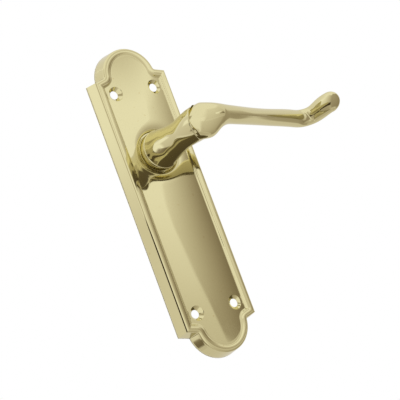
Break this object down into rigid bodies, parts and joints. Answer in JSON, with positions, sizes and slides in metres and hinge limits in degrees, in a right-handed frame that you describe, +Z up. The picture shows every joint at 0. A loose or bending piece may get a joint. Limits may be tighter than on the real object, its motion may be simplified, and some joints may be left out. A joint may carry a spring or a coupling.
{
  "type": "lever latch handle",
  "caption": "Sprung scroll lever latch handle on a tall backplate with domed, shouldered ends; the lever turns a square spindle and springs back level.",
  "frame": {"origin": "on the spindle axis, in the plane of the door face that the plate's back rim sits on", "axes": "+X along the lever, +Z up the plate, +Y into the door; the front of the plate faces -Y"},
  "size_m": [0.111, 0.0599, 0.168],
  "materials": {
    "plate_brass": "polished and lacquered",
    "lever_brass": "polished and lacquered",
    "bush_nylon": "moulded",
    "washer_steel": "zinc plated",
    "spring_steel": "oiled spring steel",
    "plate_steel": "zinc plated",
    "clip_steel": "phosphated",
    "wire_steel": "drawn spring wire",
    "pin_steel": "ground"
  },
  "bodies": {
    "plate_body": {"backplate": "plate_brass", "neck_bush": "bush_nylon", "thrust_washer": "washer_steel", "return_spring": "wire_steel", "stop_pin_rest": "pin_steel", "stop_pin_travel": "pin_steel"},
    "lever_body": {"lever": "lever_brass", "spring_plate": "plate_steel", "disc_spring": "spring_steel", "circlip": "clip_steel"}
  },
  "joints": [
    {"name": "lever_turn", "type": "hinge", "parent": "plate_body", "child": "lever_body", "pos_m": [0, 0, 0], "axis": [0, 1, 0], "range_deg": [0, 45], "stiffness_Nm_per_rad": 0.25, "springref_deg": -45.84, "deforming": ["return_spring"]}
  ]
}
